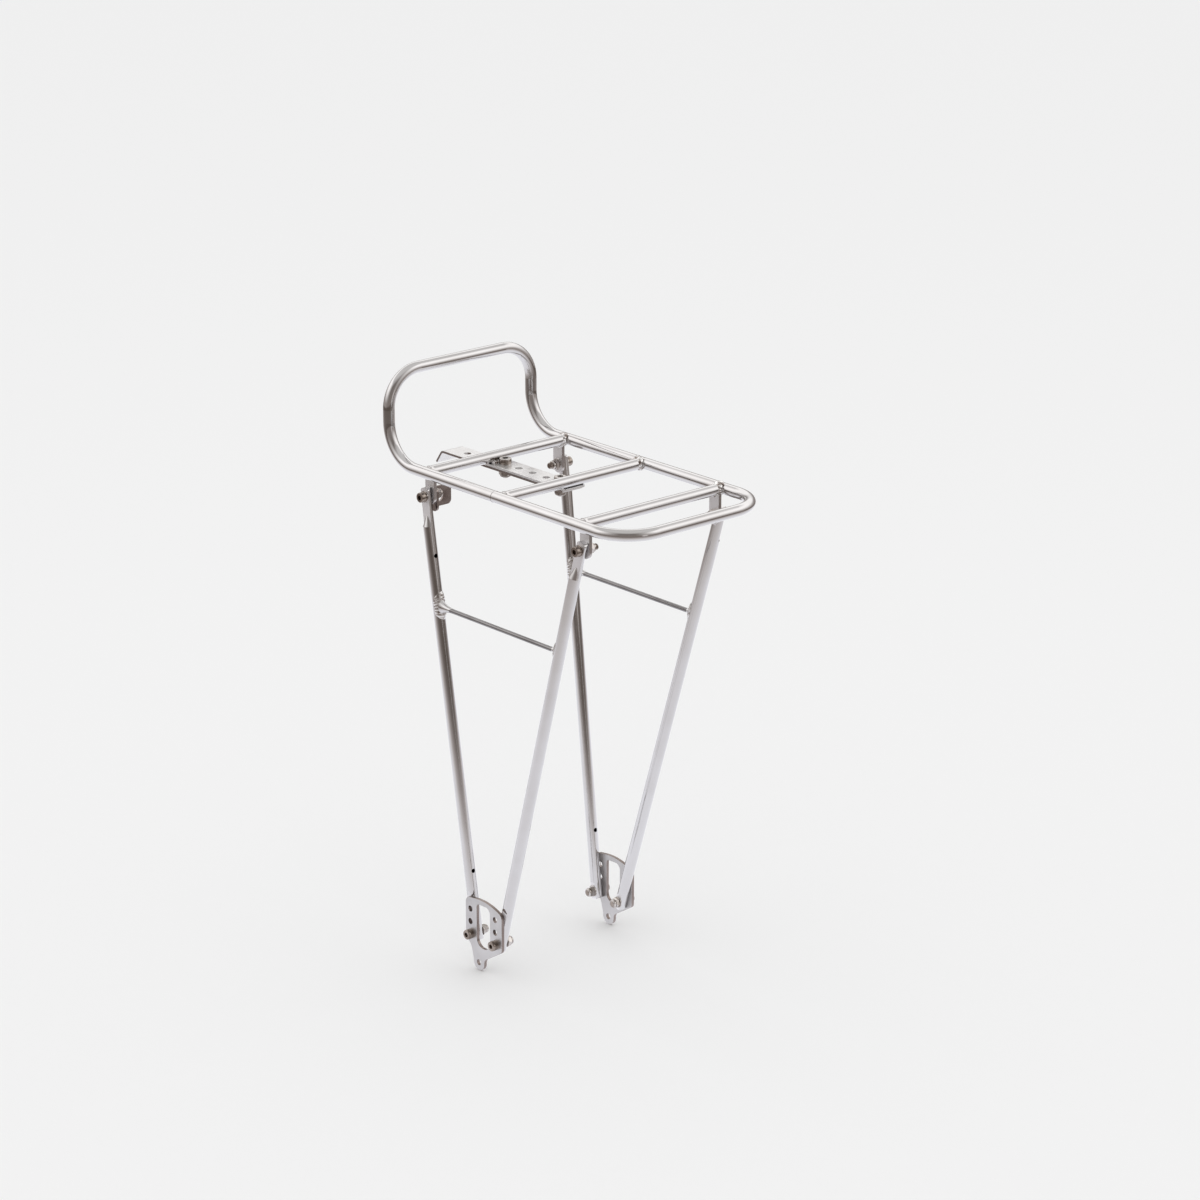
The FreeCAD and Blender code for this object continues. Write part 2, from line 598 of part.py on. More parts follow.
# ---- assembly --------------------------------------------------------------
def build():
    nodes = {}
    hoop_solid = whole_loop(hoop_legs(), TUBE_R)
    tail_solid = whole_loop(tail_legs(), TUBE_R)
    nodes["saddle_hoop_tube"] = hoop_solid.cut(whole_loop(hoop_legs(), TUBE_BORE_R))
    nodes["tail_loop_tube"] = tail_solid.cut(whole_loop(tail_legs(), TUBE_BORE_R))
    rails = hoop_solid.fuse(tail_solid)
    for name, x in CROSS_X.items():
        nodes["crossbar_" + name] = crossbar(x, rails)

    legs = {end: leg(end) for end in ENDS}
    rod = side_rod()
    plate = dropout_plate()
    for side_name, side in SIDES.items():
        for end in ENDS:
            nodes[f"leg_{side_name}_{end}"] = sided(legs[end], side)
            tab = leg_tab(end, nodes["crossbar_" + end])
            nodes[f"leg_tab_{side_name}_{end}"] = sided(tab, side)
        nodes["side_rod_" + side_name] = sided(rod, side)
        nodes["dropout_plate_" + side_name] = sided(plate, side)

    nodes["bridge_plate"] = bridge_plate()
    nodes["bridge_strip"] = bridge_strip()
    cross_bodies = nodes["crossbar_front"].fuse(nodes["crossbar_middle"])
    for x in (CROSS_X["front"], CROSS_X["middle"]):
        cross_bodies = cross_bodies.fuse(bar_y(CROSS_R, x, DECK_Z, -20, 20))
    nodes["bridge_weld_beads"] = Part.makeCompound(bridge_welds(cross_bodies))
    nodes["lamp_bracket"] = lamp_bracket()

    screws, washers, nuts = [], [], []
    for side_name, side in SIDES.items():
        for i, end in enumerate(ENDS):
            stack = TOP_FLAT_Y - TOP_SEAT_Y + TAB_T
            tip = M5["tip"]
            if (side_name, end) == ("left", "front"):
                stack += LAMP_T
                tip -= LAMP_T
            face = V(LEG_TOP_X[end], side * TOP_FLAT_Y, LEG_TOP_Z)
            s, w, n = bolt_set(M5, face, V(0, side, 0), stack, 11 + 23 * i, tip=tip)
            screws.append(s)
            washers += w
            nuts.append(n)
    nodes["leg_top_screws"] = Part.makeCompound(screws)
    nodes["leg_top_washers"] = Part.makeCompound(washers)
    nodes["leg_top_locknuts"] = Part.makeCompound(nuts)

    screws, washers, nuts = [], [], []
    for side in SIDES.values():
        for i, end in enumerate(ENDS):
            face = V(LEG_LOW_X[end], side * (PLATE_IN_Y + PLATE_T), LEG_LOW_Z)
            stack = PLATE_T + LOW_FLAT_Y - LOW_SEAT_Y
            s, w, n = bolt_set(M5, face, V(0, side, 0), stack, 5 + 31 * i,
                               head_washer=False, tip=DROPOUT_SCREW_TIP)
            screws.append(s)
            washers += w
            nuts.append(n)
    nodes["dropout_screws"] = Part.makeCompound(screws)
    nodes["dropout_washers"] = Part.makeCompound(washers)
    nodes["dropout_locknuts"] = Part.makeCompound(nuts)

    screws, washers, nuts = [], [], []
    for i, x in enumerate(bridge_screw_x()):
        face = V(x, 0, BRIDGE_TOP_Z)
        s, w, n = bolt_set(M6, face, V(0, 0, 1), 2 * BRIDGE_T, 20 * i, head_washer=False)
        screws.append(s)
        washers += w
        nuts.append(n)
    nodes["bridge_screws"] = Part.makeCompound(screws)
    nodes["bridge_washers"] = Part.makeCompound(washers)
    nodes["bridge_locknuts"] = Part.makeCompound(nuts)
    return nodes


os.makedirs("parts", exist_ok=True)
for node, shape in build().items():
    ok = shape.isValid() and all(s.isClosed() for s in shape.Shells)
    print(node, len(shape.Solids), "solids", round(shape.Volume, 1), "mm3",
          "valid" if ok else "NOT VALID")
    shape.exportStep("parts/" + node + ".step")
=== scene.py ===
import json
import math

import bmesh
import bpy
from mathutils import Matrix, Vector, noise


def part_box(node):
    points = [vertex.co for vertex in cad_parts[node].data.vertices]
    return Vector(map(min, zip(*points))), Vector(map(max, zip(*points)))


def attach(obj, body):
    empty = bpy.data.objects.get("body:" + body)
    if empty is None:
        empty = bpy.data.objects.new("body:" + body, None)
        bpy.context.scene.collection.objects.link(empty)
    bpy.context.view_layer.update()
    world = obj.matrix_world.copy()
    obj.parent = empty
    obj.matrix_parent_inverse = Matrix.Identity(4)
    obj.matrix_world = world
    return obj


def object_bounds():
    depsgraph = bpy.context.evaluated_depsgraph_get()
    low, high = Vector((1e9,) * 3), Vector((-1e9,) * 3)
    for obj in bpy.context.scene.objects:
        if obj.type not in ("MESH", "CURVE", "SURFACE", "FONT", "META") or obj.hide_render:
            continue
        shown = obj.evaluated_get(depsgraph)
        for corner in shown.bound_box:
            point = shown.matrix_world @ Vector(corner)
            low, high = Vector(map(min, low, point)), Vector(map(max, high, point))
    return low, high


# Looks for a polished stainless rear rack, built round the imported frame.
# Everything is in metres, in the part's own frame: +X tail, +Y right, +Z up.

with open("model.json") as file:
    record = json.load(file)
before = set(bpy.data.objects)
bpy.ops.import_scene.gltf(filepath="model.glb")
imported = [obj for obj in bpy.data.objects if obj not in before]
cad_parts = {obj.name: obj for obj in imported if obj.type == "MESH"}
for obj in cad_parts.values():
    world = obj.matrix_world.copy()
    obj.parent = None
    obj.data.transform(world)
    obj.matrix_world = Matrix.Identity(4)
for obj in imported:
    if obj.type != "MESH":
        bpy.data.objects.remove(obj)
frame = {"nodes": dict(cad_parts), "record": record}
cad_low, cad_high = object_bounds()
CENTRE = (cad_low + cad_high) / 2
ROOT = "rack_frame"
MM = 0.001


# ---- small node-tree helpers -----------------------------------------------------
def new_material(name):
    mat = bpy.data.materials.new(name)
    mat.use_nodes = True
    tree = mat.node_tree
    tree.nodes.clear()
    out = tree.nodes.new("ShaderNodeOutputMaterial")
    bsdf = tree.nodes.new("ShaderNodeBsdfPrincipled")
    tree.links.new(bsdf.outputs[0], out.inputs[0])
    return mat, tree, bsdf


def node(tree, kind, **sockets):
    made = tree.nodes.new(kind)
    for key, value in sockets.items():
        made.inputs[key.replace("_", " ")].default_value = value
    return made


def math_node(tree, operation, a, b=None):
    """Maths on numbers or sockets; b is left out where the operation takes one value."""
    made = tree.nodes.new("ShaderNodeMath")
    made.operation = operation
    for socket, value in zip(made.inputs, (a, b)):
        if value is None:
            continue
        if isinstance(value, (int, float)):
            socket.default_value = value
        else:
            tree.links.new(value, socket)
    return made.outputs[0]


def ramp(tree, factor, stops):
    """Colour ramp from (place, colour) stops."""
    made = tree.nodes.new("ShaderNodeValToRGB")
    elements = made.color_ramp.elements
    while len(elements) < len(stops):
        elements.new(0.5)
    for element, (place, colour) in zip(elements, stops):
        element.position = place
        element.color = (*colour, 1.0)
    tree.links.new(factor, made.inputs[0])
    return made.outputs[0]


def remap(tree, factor, low, high, to_low, to_high):
    """Straight line from low..high to to_low..to_high, held at both ends."""
    made = node(tree, "ShaderNodeMapRange", From_Min=low, From_Max=high, To_Min=to_low, To_Max=to_high)
    tree.links.new(factor, made.inputs["Value"])
    return made.outputs["Result"]


def mix_colour(tree, factor, a, b):
    """Colour b where the factor is 1, colour a where it is 0."""
    made = tree.nodes.new("ShaderNodeMix")
    made.data_type = "RGBA"
    tree.links.new(factor, made.inputs["Factor"])
    for socket, value in ((made.inputs[6], a), (made.inputs[7], b)):
        if isinstance(value, tuple):
            socket.default_value = (*value, 1)
        else:
            tree.links.new(value, socket)
    return made.outputs[2]


def part_noise(tree, scale, detail, stretch=(1.0, 1.0, 1.0)):
    """Noise in the part's own coordinates, so every piece of steel gets its own patch."""
    place = tree.nodes.new("ShaderNodeTexCoord")
    mapping = node(tree, "ShaderNodeMapping", Scale=stretch)
    tree.links.new(place.outputs["Object"], mapping.inputs["Vector"])
    made = node(tree, "ShaderNodeTexNoise", Scale=scale, Detail=detail)
    tree.links.new(mapping.outputs[0], made.inputs["Vector"])
    return made.outputs["Fac"]


# ---- materials -------------------------------------------------------------------
NOISE_RANGE = (0.3, 0.7)      # where nearly all of a noise texture's values lie
CLOUD_DETAIL = 4.0
SMUDGE_SCALE, SMUDGE_DETAIL = 140.0, 5.0
GRAIN_DETAIL = 6.0
GRAIN_GLOSS = 0.6             # share of the roughness spread that follows the grain
BUMP_DISTANCE = 0.2 * MM


def facing(tree, axis, limit):
    """1 where the surface faces either way along one of the part's own axes, else 0.

    The limit is the least size of the surface normal's part along that axis."""
    place = tree.nodes.new("ShaderNodeTexCoord")
    parts = tree.nodes.new("ShaderNodeSeparateXYZ")
    tree.links.new(place.outputs["Normal"], parts.inputs[0])
    return math_node(tree, "GREATER_THAN", math_node(tree, "ABSOLUTE", parts.outputs[axis]), limit)


def steel(name, dark, light, rough, rough_spread, grain, grain_depth, stretch=(1, 1, 1),
          cloud_scale=38.0, cloud_edges=NOISE_RANGE, second=None, metallic=1.0):
    """Stainless steel: cloudy tint, smudged gloss and a fine polished grain.

    `second` gives the faces along one axis another finish, as (axis, limit, (dark, light),
    added roughness), with the axis and limit of facing(). A `metallic` under 1 is for a
    satin surface that scatters part of its light."""
    mat, tree, bsdf = new_material(name)
    bsdf.inputs["Metallic"].default_value = metallic
    cloud = part_noise(tree, cloud_scale, CLOUD_DETAIL)
    smudge = part_noise(tree, SMUDGE_SCALE, SMUDGE_DETAIL)
    lines = part_noise(tree, grain, GRAIN_DETAIL, stretch)
    colour = ramp(tree, cloud, [(cloud_edges[0], dark), (cloud_edges[1], light)])
    spread = remap(tree, smudge, *NOISE_RANGE, rough - rough_spread, rough + rough_spread)
    fine = remap(tree, lines, *NOISE_RANGE, -rough_spread * GRAIN_GLOSS, rough_spread * GRAIN_GLOSS)
    gloss = math_node(tree, "ADD", spread, fine)
    # On the leg flats and the tab faces, the second tones are lighter than the steel: a painted sheen.
    if second:
        axis, limit, (other_dark, other_light), added_rough = second
        faces = facing(tree, axis, limit)
        other = ramp(tree, cloud, [(cloud_edges[0], other_dark), (cloud_edges[1], other_light)])
        colour = mix_colour(tree, faces, colour, other)
        gloss = math_node(tree, "ADD", gloss, math_node(tree, "MULTIPLY", faces, added_rough))
    tree.links.new(colour, bsdf.inputs["Base Color"])
    tree.links.new(gloss, bsdf.inputs["Roughness"])
    bump = node(tree, "ShaderNodeBump", Strength=grain_depth, Distance=BUMP_DISTANCE)
    tree.links.new(lines, bump.inputs["Height"])
    tree.links.new(bump.outputs[0], bsdf.inputs["Normal"])
    return mat


# Pairs of tones, dark and light, and finishes that more than one steel has.
TUBE_TONES = (0.60, 0.585, 0.58), (0.64, 0.63, 0.63)
SATIN_TONES = (0.70, 0.69, 0.68), (0.80, 0.79, 0.79)
# Painted sheen: the tab faces' tones are lighter than their steel, standing in for the bright light they
# reflect.
TAB_FACE_SHEEN_TONES = (0.74, 0.73, 0.73), (0.84, 0.83, 0.84)
# Painted sheen: the leg flats' tones are lighter than the tube's steel, standing in for the light on
# them.
PAINTED_SHEEN_FLAT_TONES = (0.78, 0.77, 0.78), (0.86, 0.85, 0.86)
DROPOUT_FACE_TONES = (0.48, 0.465, 0.46), (0.58, 0.565, 0.56)
CUT_EDGE = (0.20, 0.16, 0.145), (0.32, 0.27, 0.25)
POLISHED = dict(rough=0.09, rough_spread=0.02, grain=900.0, grain_depth=0.03)
TUMBLED = dict(rough_spread=0.05, grain=1400.0, grain_depth=0.10)
SATIN = dict(rough=0.33, rough_spread=0.05, grain=1400.0, grain_depth=0.12, stretch=(0.1, 1, 1),
             metallic=0.75)
TURNED = dict(rough_spread=0.04, grain=1800.0, grain_depth=0.08)
UPRIGHT_GRAIN = (1, 1, 0.15)

STEELS = {
    "polished_tube": steel("polished_stainless", *TUBE_TONES, **POLISHED),
    # Tab faces along Y: a rougher tumbled finish, and lighter tones that are a painted sheen.
    "brushed_plate": steel("tumbled_stainless_plate", (0.42, 0.39, 0.38), (0.56, 0.53, 0.52),
                           rough=0.22, **TUMBLED, stretch=UPRIGHT_GRAIN,
                           second=("Y", 0.9, TAB_FACE_SHEEN_TONES, 0.20)),
    "satin_strip": steel("satin_stainless_strip", *SATIN_TONES, **SATIN,
                         second=("Y", 0.7, CUT_EDGE, -0.08)),
    # Painted shade: the screws, their knurling and their threads are toned dark brown for the shade on
    # the heads.
    "fastener_steel": steel("stainless_fastener_painted_shade", (0.19, 0.15, 0.125), (0.40, 0.35, 0.31),
                            rough=0.13, **TURNED, cloud_scale=160.0),
    "weld_metal": steel("brushed_weld_bead", (0.28, 0.23, 0.205), (0.78, 0.77, 0.76),
                        rough=0.20, rough_spread=0.05, grain=1100.0, grain_depth=0.12,
                        cloud_scale=300.0, cloud_edges=(0.34, 0.50)),
}
# Steels of single parts that differ from the rest of their slot; some carry painted light or shade, as
# said at each.
# Leg flats along Y: a rougher real finish, and lighter tones that are a painted sheen.
LEG_STEEL = steel("polished_leg", *TUBE_TONES, **POLISHED, second=("Y", 0.9999, PAINTED_SHEEN_FLAT_TONES, 0.45))
# Painted shade and reflection: the side rods are toned dark all along for the dark room they reflect;
# where their surface turns along X, at the ends, they keep the tube's tones.
ROD_STEEL = steel("rod_painted_dark_reflection", (0.20, 0.19, 0.19), (0.28, 0.27, 0.27),
                  rough=0.16, rough_spread=0.04, grain=1200.0, grain_depth=0.05,
                  second=("X", 0.06, TUBE_TONES, -0.04))
DROPOUT_STEEL = steel("cut_dropout_plate", *CUT_EDGE, rough=0.24, **TUMBLED, stretch=UPRIGHT_GRAIN,
                      second=("Y", 0.8, DROPOUT_FACE_TONES, 0.12))
NUT_STEEL = steel("bright_nut", (0.34, 0.30, 0.27), (0.66, 0.63, 0.61), rough=0.14, **TURNED,
                  cloud_scale=260.0)
PLATE_STEEL = steel("satin_bridge_plate", *SATIN_TONES, **SATIN)
BRACKET_STEEL = steel("dark_bracket", (0.20, 0.16, 0.145), (0.36, 0.31, 0.29), rough=0.20,
                      **TUMBLED, cloud_scale=90.0)
# By the start of the node's name.
NODE_FINISH = {
    "bridge_plate": PLATE_STEEL,
    "lamp_bracket": BRACKET_STEEL,
    "leg_left_": LEG_STEEL,
    "leg_right_": LEG_STEEL,
    "side_rod_": ROD_STEEL,
    "dropout_plate_": DROPOUT_STEEL,
    "leg_top_locknuts": NUT_STEEL,
    "leg_top_washers": NUT_STEEL,
    "dropout_locknuts": NUT_STEEL,
    "dropout_washers": NUT_STEEL,
    "bridge_locknuts": NUT_STEEL,
    "bridge_washers": NUT_STEEL,
    "bridge_screws": NUT_STEEL,
}


def dress_cad_nodes():
    slots = {part["node"]: part["material_slot"] for part in frame["record"]["subparts"]}
    for name, obj in frame["nodes"].items():
        own = [finish for start, finish in NODE_FINISH.items() if name.startswith(start)]
        for slot in obj.material_slots:
            slot.material = own[0] if own else STEELS[slots[name]]


# ---- measures read off the frame -------------------------------------------------
deck_low, deck_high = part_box("tail_loop_tube")
TUBE_R = (deck_high.z - deck_low.z) / 2
DECK_Z = (deck_high.z + deck_low.z) / 2
RAIL_Y = deck_high.y - TUBE_R
CROSS_R = TUBE_R * 0.98       # the crossbars are a hair thinner than the rails
LEG_AXIS_LOW_IN = 0.8         # leg axis from the node's inner side at its foot, in tube radii
LEG_AXIS_TOP_IN = 0.9         # leg axis from the node's outer side at its top, in tube radii
SIDES = {"left": -1, "right": 1}


def middle_of(name):
    low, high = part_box(name)
    return (low + high) / 2


def corner_box(name, x_side, y_side):
    """Box of the one fastener of a node on the given side of the node's middle.

    A y_side of 0 takes both sides."""
    centre = middle_of(name)
    world = frame["nodes"][name].matrix_world
    points = [world @ v.co for v in frame["nodes"][name].data.vertices]
    points = [p for p in points if (p.x - centre.x) * x_side > 0 and (p.y - centre.y) * y_side >= 0]
    low = Vector([min(p[i] for p in points) for i in range(3)])
    high = Vector([max(p[i] for p in points) for i in range(3)])
    return low, high


def leg_line(side, end):
    """Two points on a leg's centre line, lowest first."""
    low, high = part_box(f"leg_{side}_{end}")
    sign = SIDES[side]
    outer, inner = max(abs(low.y), abs(high.y)), min(abs(low.y), abs(high.y))
    x_top, x_low = (low.x, high.x) if end == "front" else (high.x, low.x)
    lean = 1 if end == "front" else -1
    return (Vector((x_low - lean * TUBE_R, sign * (inner + LEG_AXIS_LOW_IN * TUBE_R), low.z)),
            Vector((x_top + lean * TUBE_R, sign * (outer - LEG_AXIS_TOP_IN * TUBE_R), high.z)))


# ---- welds -----------------------------------------------------------------------
UNEVEN_SIZE = 2.2 * MM        # size of the bumps in hand-laid metal
BEAD_UNEVEN = 0.25
# Bead round a crossbar's end, in mm: radius, extra radius on top, ripple as a share of the
# radius, and how far the bead's middle is sunk. The right side has the fuller welds.
CROSSBAR_BEAD = {
    "left": dict(radius=0.7, crown=0.0, ripple=0.04, sunk=0.5),
    "right": dict(radius=2.9, crown=0.3, ripple=0.07, sunk=1.7),
}
CROSSBAR_UNEVEN = 0.2
CROSSBAR_RIPPLES = 15
CROSSBAR_STEPS = 120
CAP_LENGTH, CAP_WIDTH = 4.6, 3.9                             # half sizes along X and Y, mm
CAP_HEIGHT = {"front": 1.2, "middle": 1.2, "rear": 2.3}      # mm
CAP_IN = 3.2 * MM             # middle of the cap, inwards from the rail's centre line
CAP_SUNK = 0.3 * MM
CAP_UNEVEN = 0.16
TAB_BEAD_R = 1.25 * MM
TAB_ARC_START, TAB_ARC_SWEEP = -152, 124      # degrees round the crossbar's underside
TAB_RIPPLE, TAB_RIPPLE_TURN = 0.17, 0.9       # share of the radius, radians per step
TAB_STEPS = 60
# Weld of a side rod on its leg: degrees it reaches each way round the leg, half its height
# along the leg and its rise off the leg, both in mm.
ROD_WELD = {
    "front": dict(reach=112, half=12.5, rise=0.9),
    "rear": dict(reach=80, half=8.0, rise=0.75),
}
ROD_WELD_ROWS, ROD_WELD_COLS = 40, 44
ROD_WELD_NARROWING = 0.45     # how much shorter the patch is at its two edges
ROD_WELD_SUNK = 0.35 * MM     # how far the patch's edge and back lie under the leg's surface
ROD_WELD_RIPPLE = 0.13 * MM
ROD_WELD_RIPPLE_TURN = 26     # radians of ripple from the patch's middle to its top
ROD_WELD_RIPPLE_BEND = 5      # radians by which the ripples bend up or down at its edges
SEAM_BEAD_R = 0.27 * MM
SEAM_STEPS = 72


def finish_piece(obj, slot):
    obj.data.materials.append(STEELS[slot])
    for face in obj.data.polygons:
        face.use_smooth = True
    bpy.context.scene.collection.objects.link(obj)
    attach(obj, ROOT)


def object_from(name, bm):
    bmesh.ops.remove_doubles(bm, verts=bm.verts, dist=1e-6)
    bmesh.ops.recalc_face_normals(bm, faces=bm.faces)
    mesh = bpy.data.meshes.new(name)
    bm.to_mesh(mesh)
    bm.free()
    return bpy.data.objects.new(name, mesh)


def bead(bm, points, radii, across, closed, sides=10):
    """Round bead of changing thickness; `across` is never along the path."""
    count = len(points)
    rings = []
    for i, point in enumerate(points):
        before = points[i - 1] if closed or i else point
        after = points[(i + 1) % count] if closed or i < count - 1 else point
        along = (after - before).normalized()
        u = (across - along * across.dot(along)).normalized()
        v = along.cross(u)
        rings.append([bm.verts.new(point + (u * math.cos(a) + v * math.sin(a)) * radii[i])
                      for a in (2 * math.pi * k / sides for k in range(sides))])
    for i in range(count if closed else count - 1):
        near, far = rings[i], rings[(i + 1) % count]
        for k in range(sides):
            bm.faces.new((near[k], near[(k + 1) % sides], far[(k + 1) % sides], far[k]))
    if not closed:
        bm.faces.new(rings[0])
        bm.faces.new(list(reversed(rings[-1])))


def uneven(point, amount):
    """Hand-laid unevenness, the same on every run."""
    return 1 + amount * noise.noise(point / UNEVEN_SIZE)


def weld_cap(bm, centre, size):
    """Rounded, uneven cap of weld metal."""
    made = bmesh.ops.create_uvsphere(bm, u_segments=36, v_segments=24, radius=1.0)
    for vert in made["verts"]:
        spot = Vector((vert.co.x * size.x, vert.co.y * size.y, vert.co.z * size.z))
        vert.co = centre + spot * uneven(centre + spot, CAP_UNEVEN)


def crossbar_weld(name, side):
    """Bead along the saddle joint of a crossbar and a rail, with a cap on top on the right."""
    sign = SIDES[side]
    centre = middle_of("crossbar_" + name)
    size = CROSSBAR_BEAD[side]
    sunk = size["sunk"] * MM
    points, radii = [], []
    for i in range(CROSSBAR_STEPS):
        angle = 2 * math.pi * i / CROSSBAR_STEPS
        rise = CROSS_R * math.sin(angle)
        y = RAIL_Y - math.sqrt(TUBE_R ** 2 - rise ** 2)
        point = Vector((centre.x + (CROSS_R - sunk) * math.cos(angle), sign * (y - sunk),
                        DECK_Z + rise * (1 - sunk / CROSS_R)))
        on_top = max(0.0, math.sin(angle)) ** 2
        ripple = 1 + size["ripple"] * math.sin(CROSSBAR_RIPPLES * angle)
        points.append(point)
        radii.append((size["radius"] + size["crown"] * on_top) * MM * ripple
                     * uneven(point, CROSSBAR_UNEVEN))
    bm = bmesh.new()
    bead(bm, points, radii, Vector((0, 1, 0)), True, 14)
    if side == "right":
        top = Vector((centre.x, sign * (RAIL_Y - CAP_IN), DECK_Z + CROSS_R - CAP_SUNK))
        weld_cap(bm, top, Vector((CAP_LENGTH, CAP_WIDTH, CAP_HEIGHT[name])) * MM)
    finish_piece(object_from(f"weld_crossbar_{name}_{side}", bm), "weld_metal")


def tab_weld(side, end):
    """Beads on both faces of a leg tab, where it meets the underside of its crossbar."""
    low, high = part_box(f"leg_tab_{side}_{end}")
    bar_x = middle_of("crossbar_" + end).x
    bm = bmesh.new()
    for y in (low.y, high.y):
        points, radii = [], []
        for i in range(TAB_STEPS + 1):
            angle = math.radians(TAB_ARC_START + TAB_ARC_SWEEP * i / TAB_STEPS)
            point = Vector((bar_x + CROSS_R * math.cos(angle), y, DECK_Z + CROSS_R * math.sin(angle)))
            ripple = 1 + TAB_RIPPLE * math.sin(i * TAB_RIPPLE_TURN)
            points.append(point)
            radii.append(TAB_BEAD_R * ripple * uneven(point, BEAD_UNEVEN))
        bead(bm, points, radii, Vector((0, 1, 0)), False)
    finish_piece(object_from(f"weld_tab_{side}_{end}", bm), "weld_metal")


def rod_weld(side, end):
    """Rippled weld metal laid round the leg where the side rod meets it."""
    low, top = leg_line(side, end)
    axis = (top - low).normalized()
    rod_z = middle_of("side_rod_" + side).z
    centre = low + axis * ((rod_z - low.z) / axis.z)
    ahead = Vector((1 if end == "front" else -1, 0, 0))
    ahead = (ahead - axis * ahead.dot(axis)).normalized()
    across = axis.cross(ahead)
    size = ROD_WELD[end]

    def lift_at(turn, up):
        """Height of the patch's outside over the leg's surface, with both places from -1 to 1."""
        crown = max(0.0, (1 - turn ** 4) * (1 - up ** 4))
        phase = ROD_WELD_RIPPLE_TURN * up + ROD_WELD_RIPPLE_BEND * turn * turn
        ripple = ROD_WELD_RIPPLE * math.sin(phase)
        return (size["rise"] * MM + ROD_WELD_SUNK + ripple) * crown - ROD_WELD_SUNK

    bm = bmesh.new()
    for outside in (True, False):
        grid = []
        for i in range(ROD_WELD_ROWS + 1):
            turn = 2 * i / ROD_WELD_ROWS - 1
            angle = math.radians(size["reach"] * turn)
            outward = ahead * math.cos(angle) + across * math.sin(angle)
            half = size["half"] * (1 - ROD_WELD_NARROWING * turn * turn) * MM
            line = []
            for j in range(ROD_WELD_COLS + 1):
                up = 2 * j / ROD_WELD_COLS - 1
                lift = lift_at(turn, up) if outside else -ROD_WELD_SUNK
                line.append(bm.verts.new(centre + axis * up * half + outward * (TUBE_R + lift)))
            grid.append(line)
        for i in range(ROD_WELD_ROWS):
            for j in range(ROD_WELD_COLS):
                bm.faces.new((grid[i][j], grid[i + 1][j], grid[i + 1][j + 1], grid[i][j + 1]))
    finish_piece(object_from(f"weld_rod_{side}_{end}", bm), "weld_metal")


def rail_seam(side):
    """Low butt weld round the rail where the hoop tube meets the tail loop."""
    seam_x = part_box("tail_loop_tube")[0].x
    angles = [2 * math.pi * i / SEAM_STEPS for i in range(SEAM_STEPS)]
    points = [Vector((seam_x, SIDES[side] * RAIL_Y + TUBE_R * math.cos(a), DECK_Z + TUBE_R * math.sin(a)))
              for a in angles]
    bm = bmesh.new()
    bead(bm, points, [SEAM_BEAD_R * uneven(p, BEAD_UNEVEN) for p in points], Vector((1, 0, 0)), True, 8)
    finish_piece(object_from("seam_rail_" + side, bm), "polished_tube")


# ---- fastener detail -------------------------------------------------------------
M5_HEAD_R_TO_HEIGHT = 0.85    # the bridge's M6 heads are as high as their radius
M5_HEAD_R_TO_SHANK_R = 1.7
M5_PITCH = 0.8 * MM
KNURL_TEETH = 32
KNURL_TOOTH = 0.14 * MM
KNURL_VALLEY = 0.02 * MM      # the valleys lie this far under the head's surface
KNURL_INNER = 0.4 * MM        # and the hidden inside of the band this far
KNURL_BASE = 0.86             # start of the band below the head's top, in head heights
KNURL_LENGTH = 0.70           # in head heights
KNURL_LEVELS = ((0.0, 0.0), (0.06, 1.0), (0.94, 1.0), (1.0, 0.0))      # place, share of the tooth
THREAD_R = 0.2 * MM
THREAD_START = 0.35 * MM      # from the screw's tip
THREAD_STEPS = 28             # per turn
THREAD_FADE = 14              # steps from each end to full height
THREAD_END = 0.3              # height at each end, as a share
BARE_END = 2.4 * MM           # threaded length clear of a top nut
BARE_END_AT_BRACKET = 0.8 * MM
LAMP_BRACKET_CORNER = (-1, -1)                # front left
FOUR_CORNERS = [(x, y) for x in (-1, 1) for y in (-1, 1)]
SCREW_PLACES = {
    "leg_top_screws": FOUR_CORNERS,
    "dropout_screws": FOUR_CORNERS,
    "bridge_screws": [(-1, 0), (1, 0)],
}


def knurl(bm, base, axis, radius, length):
    """Straight-knurled band round a screw head, starting at base."""
    u = axis.orthogonal().normalized()
    v = axis.cross(u)
    count = KNURL_TEETH * 2

    def ring(place, valley, tooth):
        verts = []
        for k in range(count):
            angle = math.pi * k / KNURL_TEETH
            r = valley + (tooth if k % 2 else 0.0)
            verts.append(bm.verts.new(base + axis * length * place
                                      + (u * math.cos(angle) + v * math.sin(angle)) * r))
        return verts

    rings = [ring(place, radius - KNURL_VALLEY, KNURL_TOOTH * proud) for place, proud in KNURL_LEVELS]
    rings += [ring(place, radius - KNURL_INNER, 0.0) for place in (1.0, 0.0)]
    for i, near in enumerate(rings):
        far = rings[(i + 1) % len(rings)]
        for k in range(count):
            after = (k + 1) % count
            bm.faces.new((near[k], near[after], far[after], far[k]))


def thread(bm, tip, inward, radius, length, pitch):
    """Raised helix on the bare end of a screw."""
    u = inward.orthogonal().normalized()
    v = inward.cross(u)
    turns = length / pitch
    steps = int(turns * THREAD_STEPS)
    points, radii = [], []
    for i in range(steps + 1):
        angle = 2 * math.pi * turns * i / steps
        points.append(tip + inward * (THREAD_START + length * i / steps)
                      + (u * math.cos(angle) + v * math.sin(angle)) * radius)
        nearest_end = min(i, steps - i)
        radii.append(THREAD_R * min(1.0, THREAD_END + nearest_end / THREAD_FADE))
    bead(bm, points, radii, inward, False, 6)


def screw_line(name, x_side, y_side):
    """Direction a screw's head faces, the head's radius, its top, and the screw's tip."""
    low, high = corner_box(name, x_side, y_side)
    centre, size = (low + high) / 2, high - low
    if y_side:
        out, radius, half = Vector((0, y_side, 0)), size.z / 2, size.y / 2
    else:
        out, radius, half = Vector((0, 0, 1)), size.y / 2, size.z / 2
    return out, radius, centre + out * half, centre - out * half


